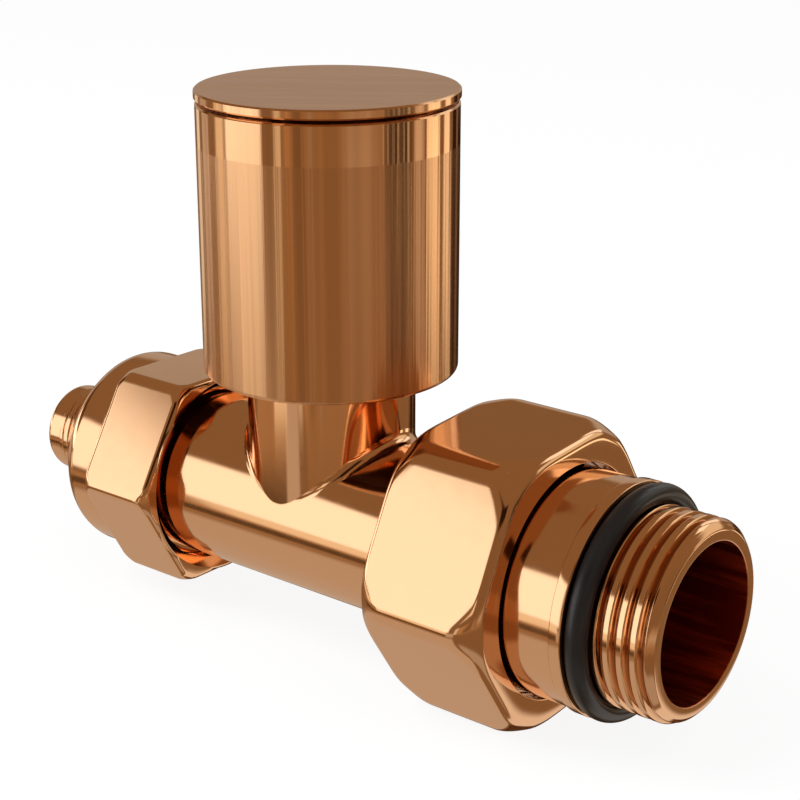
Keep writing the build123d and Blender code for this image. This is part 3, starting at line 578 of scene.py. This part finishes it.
class RADIATOR_VALVE_OT_compression_nut(bpy.types.Operator):
    """Turns the compression nut with its collar and coned end, and presses its six flats"""
    bl_idname = "radiator_valve.compression_nut"
    bl_label = "Compression Nut"

    def execute(self, context):
        nut = context.scene.valve_pipe_nut
        low, high = reach("compression_nut")
        corner = nut.across_flats / math.sqrt(3)
        cone = low.x + nut.end_wall
        hexagon = high.x - nut.hexagon_length
        bm, verts = turned_outline([
            (low.x, nut.hole_radius), (cone, nut.hole_radius), (cone + nut.inner_cone_length, nut.thread_radius),
            (high.x - nut.mouth_chamfer, nut.thread_radius), (high.x, nut.thread_radius + nut.mouth_chamfer),
            (high.x, corner), (hexagon, corner), (hexagon, nut.collar_radius),
            (low.x + nut.end_cone_length, nut.collar_radius), (low.x, nut.end_radius)])
        # Both ends of the hexagon, then the outer cone's large end, then the edges at the pipe's hole.
        soften(bm, [verts[5], verts[6]], nut.end_rounding, segments=8)
        soften(bm, [verts[8]], nut.collar_rounding)
        soften(bm, [verts[0], verts[9]], nut.edge_rounding, segments=4)
        cut_finer(bm, FLAT_STEP, hexagon, high.x, nut.face_radius)
        turn_round(bm, NUT_STEPS)
        press_hexagon(bm, nut, hexagon, high.x, nut.collar_radius + nut.collar_margin)
        piece_from(bm, "polished_compression_nut", finish("mirror_copper_plate", polished_copper),
                   "compression_nut", "compression_nut")
        return {"FINISHED"}


class RADIATOR_VALVE_OT_body(bpy.types.Operator):
    """Plates the body and the pipe insert in polished copper"""
    bl_idname = "radiator_valve.body"
    bl_label = "Body and Pipe Insert"

    def execute(self, context):
        dress(("valve_body", "pipe_insert"), finish("mirror_copper_plate", polished_copper))
        return {"FINISHED"}


class RADIATOR_VALVE_OT_handle(bpy.types.Operator):
    """Gives the handle its turned wall and its brushed cap"""
    bl_idname = "radiator_valve.handle"
    bl_label = "Handle"

    def execute(self, context):
        dress(("handle_sleeve",), finish("turned_copper_plate", turned_copper))
        dress(("handle_cap",), finish("hairline_copper_plate", brushed_copper))
        return {"FINISHED"}


class RADIATOR_VALVE_OT_seals(bpy.types.Operator):
    """Finishes the rubber rings and the fibre seals"""
    bl_idname = "radiator_valve.seals"
    bl_label = "Seals"

    def execute(self, context):
        colours = context.scene.valve_finishes
        # Moulded nitrile rubber: black, with a soft broad sheen.
        rubber = even_finish("moulded_nitrile_rubber", colours.rubber, 0.3, 0.0, 0.25, 0.006)
        dress(("spindle_seal_lower", "spindle_seal_upper", "seat_washer", "tail_seal", "insert_seal"), rubber)
        # Pressed fibre board: dull red brown.
        dress(("bonnet_washer", "union_seal"), even_finish("pressed_fibre_board", colours.fibre, 0.8, 0.0, 0.5, 0.03))
        return {"FINISHED"}


class RADIATOR_VALVE_OT_inner_works(bpy.types.Operator):
    """Finishes the brass, steel and plastic pieces inside"""
    bl_idname = "radiator_valve.inner_works"
    bl_label = "Inner Works"

    def execute(self, context):
        colours = context.scene.valve_finishes
        # Machined brass: yellow metal with a soft gloss from fine tool marks.
        dress(("bonnet", "spindle", "valve_plug", "clamp_ring"),
              even_finish("machined_brass", colours.brass, 0.25, 1.0, 0.3, 0.004))
        # Zinc plated steel: grey metal, a little duller than the brass.
        dress(("spindle_clip", "thrust_washer", "seat_washer_screw", "handle_screw", "handle_screw_washer",
               "union_ring"), even_finish("zinc_plated_steel", colours.steel, 0.28, 1.0, 0.3, 0.004))
        # Moulded acetal: off white, smooth and slightly waxy.
        dress(("handle_hub",), even_finish("moulded_acetal", colours.plastic, 0.45, 0.0, 0.6, 0.01))
        return {"FINISHED"}


# The studio. Its boards shape what the metal mirrors. Each has a bearing from the camera (0 is behind the
# camera, positive runs counter-clockwise seen from above) and an elevation, both as (from, to) in degrees,
# then its cloth, its strength and the width of its soft edge in degrees. Each board stands a little nearer to
# the valve than the one before it, and covers it.
WHITE_CLOTH = "#FFFDF8"
CREAM_CLOTH = "#FFF0D6"
TAN_BOARD = "#CDBCAB"
SAND_BOARD = "#E6DACE"
BROWN_BOARD = "#8F7050"
GREY_BOARD = "#AFA498"
DARK_BOARD = "#593A22"
BLACK_BOARD = "#2A170C"
BOARDS = (
    ("tent_top", (-180, 180), (25, 90), BROWN_BOARD, 0.9, 6),
    ("tent_back", (135, 225), (-6, 24), GREY_BOARD, 1.0, 8),
    ("floor_left", (-175, -45), (-80, -27), TAN_BOARD, 0.85, 6),
    ("floor_right", (76, 132), (-85, -27), SAND_BOARD, 1.0, 4),
    ("floor_back", (132, 185), (-75, -17), DARK_BOARD, 0.9, 4),
    ("floor_front", (-40, 70), (-66, -36), TAN_BOARD, 0.7, 6),
    ("floor_edge_left", (-122, -62), (-30, -15), BROWN_BOARD, 1.45, 4),
    # Painted shadow: a dim board that the metal mirrors as the floor's shadow left of the valve.
    ("floor_shadow_left", (-122, -62), (-27, -20), BROWN_BOARD, 0.4, 2),
    ("floor_edge_front", (-66, -44), (-28, -15), TAN_BOARD, 0.85, 3),
    ("front_glow", (-36, 52), (-24, -2), BROWN_BOARD, 1.2, 4),
    ("flag_over_camera", (-50, 8), (26, 46), BLACK_BOARD, 1.0, 4),
    ("flag_left_high", (-142, -104), (11, 27), DARK_BOARD, 1.0, 3),
    ("flag_right", (50, 80), (-22, 17), BROWN_BOARD, 0.3, 5),
    ("flag_far_right", (138, 150), (-48, -4), BLACK_BOARD, 1.2, 2),
    ("flag_back", (152, 185), (-30, -6), BLACK_BOARD, 1.0, 3),
    ("softbox_left", (-99, -56), (-15, 26), WHITE_CLOTH, 1.38, 4),
    ("strip_light_left", (-134, -97), (-4, 9), WHITE_CLOTH, 1.9, 2),
    ("small_light_left", (-48, -36), (6, 19), CREAM_CLOTH, 1.0, 2),
    ("softbox_right", (104, 130), (25, 47), WHITE_CLOTH, 1.2, 3),
    ("softbox_far_right", (131, 149), (12, 42), WHITE_CLOTH, 1.1, 3),
    ("softbox_right_low", (84, 132), (7, 29), CREAM_CLOTH, 0.8, 5),
    ("streak_1", (-153, -141), (-17, 0), CREAM_CLOTH, 0.9, 2),
    ("streak_2", (-138, -121), (-17, -5), TAN_BOARD, 0.9, 3),
    ("streak_3", (-111, -98), (-17, -5), CREAM_CLOTH, 0.95, 2),
    ("streak_4", (-84, -61), (-20, -12), CREAM_CLOTH, 0.95, 2),
    ("streak_5", (-46, -38), (-20, -2), CREAM_CLOTH, 0.75, 2),
    ("streak_6", (-38, -31), (-20, -2), BROWN_BOARD, 1.7, 2),
    ("streak_7", (-30, -20), (-20, 10), BROWN_BOARD, 0.75, 3),
    ("streak_8", (-16, -12), (-20, 0), TAN_BOARD, 0.6, 2),
    ("streak_9", (8, 50), (-20, -2), TAN_BOARD, 1.0, 14),
    ("fine_streak_1", (48, 50), (-20, 0), TAN_BOARD, 0.9, 1),
    ("fine_streak_2", (53, 55), (-20, 0), TAN_BOARD, 0.8, 1),
    ("fine_streak_3", (58, 60), (-20, 0), TAN_BOARD, 1.0, 1),
    ("fine_streak_4", (63, 65), (-20, 0), CREAM_CLOTH, 0.8, 1),
    ("fine_streak_5", (68, 70), (-20, 0), TAN_BOARD, 0.9, 1),
    ("fine_streak_6", (73, 76), (-20, 0), CREAM_CLOTH, 0.7, 1),
    ("streak_10", (80, 93), (-17, -4), TAN_BOARD, 1.2, 3),
    ("streak_11", (95, 115), (-17, -4), CREAM_CLOTH, 1.5, 3),
    ("streak_12", (121, 133), (-17, -4), CREAM_CLOTH, 1.3, 2),
)
TENT_CENTRE = Vector((SPINDLE_X + 0.02, 0, 0))   # a little towards the radiator
TENT_MARGIN = 0.2      # from the first board to the dim cloth behind all boards
BOARD_SPACING = 0.02   # from each board to the next
BOARD_STEP = 5         # degrees between the points of a board
FULL_CIRCLE = 360

BACKDROP_LIGHT = 0.5   # strength of the white backdrop as a light
FLOOR_HALF_WIDTH = 3.0
FLOOR_WHITE = 0.9      # share of plain white in the floor, which leaves its shadow faint
# Each lamp's name, its place from the foot of the spindle's axis, its size and its power in watts.
LAMPS = (("key", (-0.35, -0.5, 0.75), 0.5, 7.0), ("fill", (0.6, -0.2, 0.6), 0.6, 3.0))

# The camera as the photograph's edges gave it: its place from the foot of the spindle's axis, and its angles.
CAMERA_PLACE = Vector((0.125356, -0.144366, 0.079737))
CAMERA_TILT = math.radians(70.65)
CAMERA_TURN = math.radians(38.71)
SENSOR_WIDTH = 36.0


def stage_object(name, bm, material):
    """A mesh of the studio, which is no piece of the valve."""
    mesh = bpy.data.meshes.new(name)
    bm.to_mesh(mesh)
    bm.free()
    mesh.materials.append(material)
    obj = bpy.data.objects.new(name, mesh)
    bpy.context.scene.collection.objects.link(obj)
    return obj


def only_mirrored(obj):
    """Boards shape what shiny metal mirrors, and light nothing else."""
    obj.visible_camera = False
    obj.visible_diffuse = False
    obj.visible_transmission = False
    obj.visible_volume_scatter = False
    obj.visible_shadow = False


def board_material(name, cloth, strength, softness, width, height):
    """An even glow that fades out at the board's edges."""
    material, tree = blank_material(name)
    place = add(tree, "ShaderNodeUVMap", uv_map="board")
    across = add(tree, "ShaderNodeSeparateXYZ", {"Vector": place.outputs["UV"]})
    shares = []
    for axis, size in (("X", width), ("Y", height)):
        from_edge = add(tree, "ShaderNodeMath", {0: across.outputs[axis], 1: 0.5}, operation="PINGPONG")
        start = -1.0 if size == FULL_CIRCLE else 0.0   # a board all the way round has no edge to fade at
        shares.append(add(tree, "ShaderNodeMapRange",
                          {"Value": from_edge.outputs[0], "From Min": start, "From Max": start + softness / size},
                          interpolation_type="SMOOTHSTEP").outputs["Result"])
    share = add(tree, "ShaderNodeMath", {0: shares[0], 1: shares[1]}, operation="MULTIPLY")
    glow = add(tree, "ShaderNodeEmission", {"Color": linear(cloth), "Strength": strength})
    clear = add(tree, "ShaderNodeBsdfTransparent")
    mixed = add(tree, "ShaderNodeMixShader", {0: share.outputs[0], 1: clear.outputs[0], 2: glow.outputs[0]})
    add(tree, "ShaderNodeOutputMaterial", {"Surface": mixed.outputs[0]})
    material.cycles.emission_sampling = "NONE"
    return material


def board(name, sides, heights, cloth, strength, softness, distance):
    """A curved board round the valve, between two bearings and two elevations."""
    stage = bpy.context.scene.valve_stage
    width, height = sides[1] - sides[0], heights[1] - heights[0]
    bm = bmesh.new()
    bm.loops.layers.uv.new("board")
    bmesh.ops.create_grid(bm, x_segments=max(2, width // BOARD_STEP), y_segments=max(2, height // BOARD_STEP),
                          size=0.5, calc_uvs=True)
    for vert in bm.verts:
        azimuth = stage.camera_bearing + math.radians(sides[0] + (vert.co.x + 0.5) * width)
        elevation = math.radians(heights[0] + (vert.co.y + 0.5) * height)
        vert.co = Vector((math.cos(azimuth) * math.cos(elevation), math.sin(azimuth) * math.cos(elevation),
                          math.sin(elevation))) * distance + TENT_CENTRE
    only_mirrored(stage_object(name, bm, board_material(name, cloth, strength, softness, width, height)))


def seen_directly(tree):
    """1 for what the camera sees, also in metal and through glass."""
    path = add(tree, "ShaderNodeLightPath")
    seen = add(tree, "ShaderNodeMath", {0: path.outputs["Is Camera Ray"], 1: path.outputs["Is Glossy Ray"]},
               operation="MAXIMUM")
    return add(tree, "ShaderNodeMath", {0: seen.outputs[0], 1: path.outputs["Is Transmission Ray"]},
               operation="MAXIMUM").outputs[0]


class RADIATOR_VALVE_OT_stage(bpy.types.Operator):
    """Sets the floor, the backdrop, the boards that the metal mirrors, the lamps and the camera"""
    bl_idname = "radiator_valve.stage"
    bl_label = "Stage"

    def execute(self, context):
        scene = context.scene
        self.backdrop(scene)
        self.floor(scene)
        self.boards(scene.valve_stage)
        self.lamps(scene)
        self.camera(scene)
        scene.view_settings.view_transform = "Standard"
        return {"FINISHED"}

    def backdrop(self, scene):
        """White to the eye and in reflections, dimmer as a light."""
        scene.world = bpy.data.worlds.new("white_studio")
        scene.world.use_nodes = True
        tree = scene.world.node_tree
        tree.nodes.clear()
        light = add(tree, "ShaderNodeBackground", {"Color": (1, 1, 1, 1), "Strength": BACKDROP_LIGHT})
        white = add(tree, "ShaderNodeBackground", {"Color": (1, 1, 1, 1), "Strength": 1.0})
        mixed = add(tree, "ShaderNodeMixShader", {0: seen_directly(tree), 1: light.outputs[0], 2: white.outputs[0]})
        add(tree, "ShaderNodeOutputWorld", {"Surface": mixed.outputs[0]})

    def floor(self, scene):
        """A white floor that keeps a faint shadow. The metal mirrors the low boards in its place."""
        bm = bmesh.new()
        bmesh.ops.create_grid(bm, x_segments=1, y_segments=1, size=FLOOR_HALF_WIDTH)
        bmesh.ops.translate(bm, verts=bm.verts, vec=(SPINDLE_X, 0, FLOOR_Z))
        material, tree = blank_material("pale_studio_floor")
        matt = add(tree, "ShaderNodeBsdfDiffuse", {"Color": scene.valve_finishes.floor})
        white = add(tree, "ShaderNodeEmission", {"Color": (1, 1, 1, 1), "Strength": 1.0})
        share = add(tree, "ShaderNodeMath", {0: seen_directly(tree), 1: FLOOR_WHITE}, operation="MULTIPLY")
        mixed = add(tree, "ShaderNodeMixShader", {0: share.outputs[0], 1: matt.outputs[0], 2: white.outputs[0]})
        add(tree, "ShaderNodeOutputMaterial", {"Surface": mixed.outputs[0]})
        stage_object("floor", bm, material).visible_glossy = False

    def boards(self, stage):
        """A dim cloth all round, and the boards in front of it."""
        board("tent", (-180, 180), (-90, 90), BROWN_BOARD, 0.85, 1, stage.tent_radius + TENT_MARGIN)
        for index, settings in enumerate(BOARDS):
            board(*settings, stage.tent_radius - index * BOARD_SPACING)

    def lamps(self, scene):
        """Two soft lamps for all that is not shiny metal, which doesn't mirror them."""
        for name, place, size, power in LAMPS:
            lamp = bpy.data.lights.new(name, "AREA")
            lamp.size = size
            lamp.energy = power
            obj = bpy.data.objects.new(name, lamp)
            scene.collection.objects.link(obj)
            obj.location = Vector(place) + Vector((SPINDLE_X, 0, 0))
            obj.rotation_euler = (-Vector(place)).to_track_quat("-Z", "Y").to_euler()
            obj.visible_glossy = False

    def camera(self, scene):
        """The photograph's view."""
        camera = bpy.data.cameras.new("camera")
        camera.sensor_width = SENSOR_WIDTH
        camera.lens = scene.valve_stage.lens
        camera.clip_start = 0.005
        obj = bpy.data.objects.new("camera", camera)
        scene.collection.objects.link(obj)
        obj.location = CAMERA_PLACE + Vector((SPINDLE_X, 0, 0))
        obj.rotation_euler = (CAMERA_TILT, 0, CAMERA_TURN)
        scene.camera = obj


OPERATORS = (RADIATOR_VALVE_OT_body, RADIATOR_VALVE_OT_union_tail, RADIATOR_VALVE_OT_union_nut,
             RADIATOR_VALVE_OT_compression_nut, RADIATOR_VALVE_OT_handle, RADIATOR_VALVE_OT_seals,
             RADIATOR_VALVE_OT_inner_works, RADIATOR_VALVE_OT_stage)
GROUPS = {"valve_tail": TailSizes, "valve_nut": NutSizes, "valve_pipe_nut": PipeNutSizes,
          "valve_finishes": Finishes, "valve_stage": StageSizes}


class RADIATOR_VALVE_PT_panel(bpy.types.Panel):
    """Lists the pieces and their settings"""
    bl_idname = "RADIATOR_VALVE_PT_panel"
    bl_label = "Radiator Valve"
    bl_space_type = "VIEW_3D"
    bl_region_type = "UI"
    bl_category = "Radiator Valve"

    def draw(self, context):
        for operator in OPERATORS:
            self.layout.operator(operator.bl_idname)
        for name in GROUPS:
            group = getattr(context.scene, name)
            box = self.layout.box()
            for key in group.__annotations__:
                box.prop(group, key)


def register():
    for name, group in GROUPS.items():
        bpy.utils.register_class(group)
        setattr(bpy.types.Scene, name, PointerProperty(type=group))
    for cls in OPERATORS + (RADIATOR_VALVE_PT_panel,):
        bpy.utils.register_class(cls)


def unregister():
    for cls in OPERATORS + (RADIATOR_VALVE_PT_panel,):
        bpy.utils.unregister_class(cls)
    for name, group in GROUPS.items():
        delattr(bpy.types.Scene, name)
        bpy.utils.unregister_class(group)


def main():
    register()
    bpy.ops.radiator_valve.body()
    bpy.ops.radiator_valve.union_tail()
    bpy.ops.radiator_valve.union_nut()
    bpy.ops.radiator_valve.compression_nut()
    bpy.ops.radiator_valve.handle()
    bpy.ops.radiator_valve.seals()
    bpy.ops.radiator_valve.inner_works()
    bpy.ops.radiator_valve.stage()


if __name__ == "__main__":
    main()
